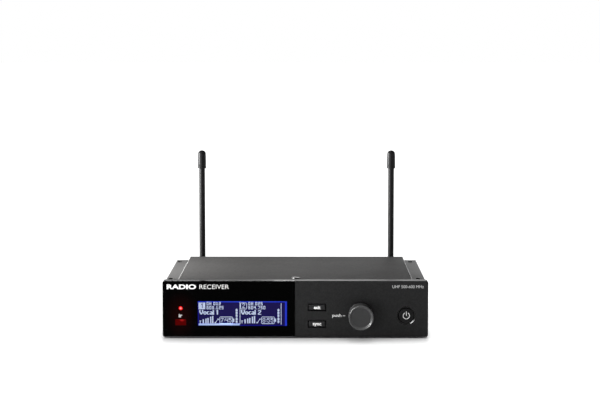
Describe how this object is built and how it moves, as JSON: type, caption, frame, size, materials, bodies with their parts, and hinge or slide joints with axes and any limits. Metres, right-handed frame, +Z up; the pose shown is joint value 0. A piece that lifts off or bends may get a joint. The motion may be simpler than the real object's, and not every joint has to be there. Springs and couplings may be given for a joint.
{
  "type": "wireless receiver unit",
  "caption": "Low half-rack wireless microphone receiver: display window, menu buttons, push knob, side rails, rear connectors and folding whip antennas on bayonet jacks.",
  "frame": {"origin": "centre of the whole object's footprint, on the surface that it stands on", "axes": "+X to the right seen from the front, +Y to the rear, +Z up; the front face looks along -Y"},
  "size_m": [0.197, 0.1774, 0.129],
  "materials": {
    "matte_plastic": "fine moulded texture",
    "button_plastic": "satin",
    "knob_plastic": "satin",
    "window_acrylic": "polished",
    "lcd": "polished",
    "led_red": "clear lens",
    "port_red": "polished",
    "white_plastic": "satin",
    "circuit_board": "solder mask",
    "sleeve_plastic": "shrink sleeve",
    "painted_steel": "satin textured paint",
    "rail_steel": "satin textured paint",
    "bare_steel": "machined",
    "nickel": "nickel plated",
    "rubber": "matte"
  },
  "bodies": {
    "housing": {"front_bezel": "matte_plastic", "display_window": "window_acrylic", "lcd_glass": "lcd", "backlight_tray": "white_plastic", "light_guide": "white_plastic", "status_led": "led_red", "ir_window": "port_red", "ir_receiver": "matte_plastic", "exit_switch": "matte_plastic", "sync_switch": "matte_plastic", "power_switch": "matte_plastic", "front_board": "circuit_board", "encoder_body": "bare_steel", "chassis_tray": "painted_steel", "front_crossbar": "bare_steel", "rear_panel": "painted_steel", "top_cover": "painted_steel", "cover_screw": "bare_steel", "left_side_rail": "rail_steel", "right_side_rail": "rail_steel", "foot_front_left": "rubber", "foot_front_right": "rubber", "foot_rear_left": "rubber", "foot_rear_right": "rubber", "main_board": "circuit_board", "rf_shield_a": "nickel", "rf_shield_b": "nickel", "ribbon_cable": "white_plastic", "dc_capacitor": "sleeve_plastic", "bnc_jack_a": "nickel", "bnc_jack_b": "nickel", "bnc_nut_a": "nickel", "bnc_nut_b": "nickel", "xlr_shell_1": "nickel", "xlr_shell_2": "nickel", "xlr_insert_1": "matte_plastic", "xlr_insert_2": "matte_plastic", "phone_jack_1": "matte_plastic", "phone_jack_2": "matte_plastic", "phone_nut_1": "nickel", "phone_nut_2": "nickel", "ethernet_jack": "nickel", "dc_jack": "matte_plastic"},
    "exit_key": {"exit_button": "button_plastic"},
    "sync_key": {"sync_button": "button_plastic"},
    "power_key": {"power_button": "button_plastic"},
    "push_shaft": {"encoder_plunger": "bare_steel"},
    "knob": {"control_knob": "knob_plastic", "encoder_shaft": "bare_steel"},
    "collar_a": {"antenna_collar_a": "nickel"},
    "collar_b": {"antenna_collar_b": "nickel"},
    "antenna_base_a": {"antenna_knuckle_a": "matte_plastic", "antenna_pin_a": "bare_steel"},
    "antenna_base_b": {"antenna_knuckle_b": "matte_plastic", "antenna_pin_b": "bare_steel"},
    "antenna_a": {"antenna_whip_a": "rubber", "antenna_cap_a": "rubber"},
    "antenna_b": {"antenna_whip_b": "rubber", "antenna_cap_b": "rubber"}
  },
  "joints": [
    {"name": "exit_press", "type": "slide", "parent": "housing", "child": "exit_key", "axis": [0, 1, 0], "range_m": [0, 0.0006], "stiffness_N_per_m": 1500},
    {"name": "sync_press", "type": "slide", "parent": "housing", "child": "sync_key", "axis": [0, 1, 0], "range_m": [0, 0.0006], "stiffness_N_per_m": 1500},
    {"name": "power_press", "type": "slide", "parent": "housing", "child": "power_key", "axis": [0, 1, 0], "range_m": [0, 0.0006], "stiffness_N_per_m": 1500},
    {"name": "knob_press", "type": "slide", "parent": "housing", "child": "push_shaft", "axis": [0, 1, 0], "range_m": [0, 0.0005], "stiffness_N_per_m": 4000},
    {"name": "knob_turn", "type": "hinge", "parent": "push_shaft", "child": "knob", "pos_m": [0.0485, -0.0762, 0.0173], "axis": [0, 1, 0], "continuous": true},
    {"name": "collar_a_lock", "type": "hinge", "parent": "housing", "child": "collar_a", "pos_m": [-0.07855, 0.0838, 0.022], "axis": [0, 1, 0], "range_deg": [0, 90]},
    {"name": "collar_b_lock", "type": "hinge", "parent": "housing", "child": "collar_b", "pos_m": [0.07855, 0.0838, 0.022], "axis": [0, 1, 0], "range_deg": [0, 90]},
    {"name": "antenna_a_swing", "type": "hinge", "parent": "housing", "child": "antenna_base_a", "pos_m": [-0.07855, 0.0838, 0.022], "axis": [0, 1, 0], "range_deg": [-90, 40]},
    {"name": "antenna_b_swing", "type": "hinge", "parent": "housing", "child": "antenna_base_b", "pos_m": [0.07855, 0.0838, 0.022], "axis": [0, 1, 0], "range_deg": [-40, 90]},
    {"name": "antenna_a_fold", "type": "hinge", "parent": "antenna_base_a", "child": "antenna_a", "pos_m": [-0.07855, 0.0838, 0.022], "axis": [-1, 0, 0], "range_deg": [0, 90]},
    {"name": "antenna_b_fold", "type": "hinge", "parent": "antenna_base_b", "child": "antenna_b", "pos_m": [0.07855, 0.0838, 0.022], "axis": [-1, 0, 0], "range_deg": [0, 90]}
  ]
}
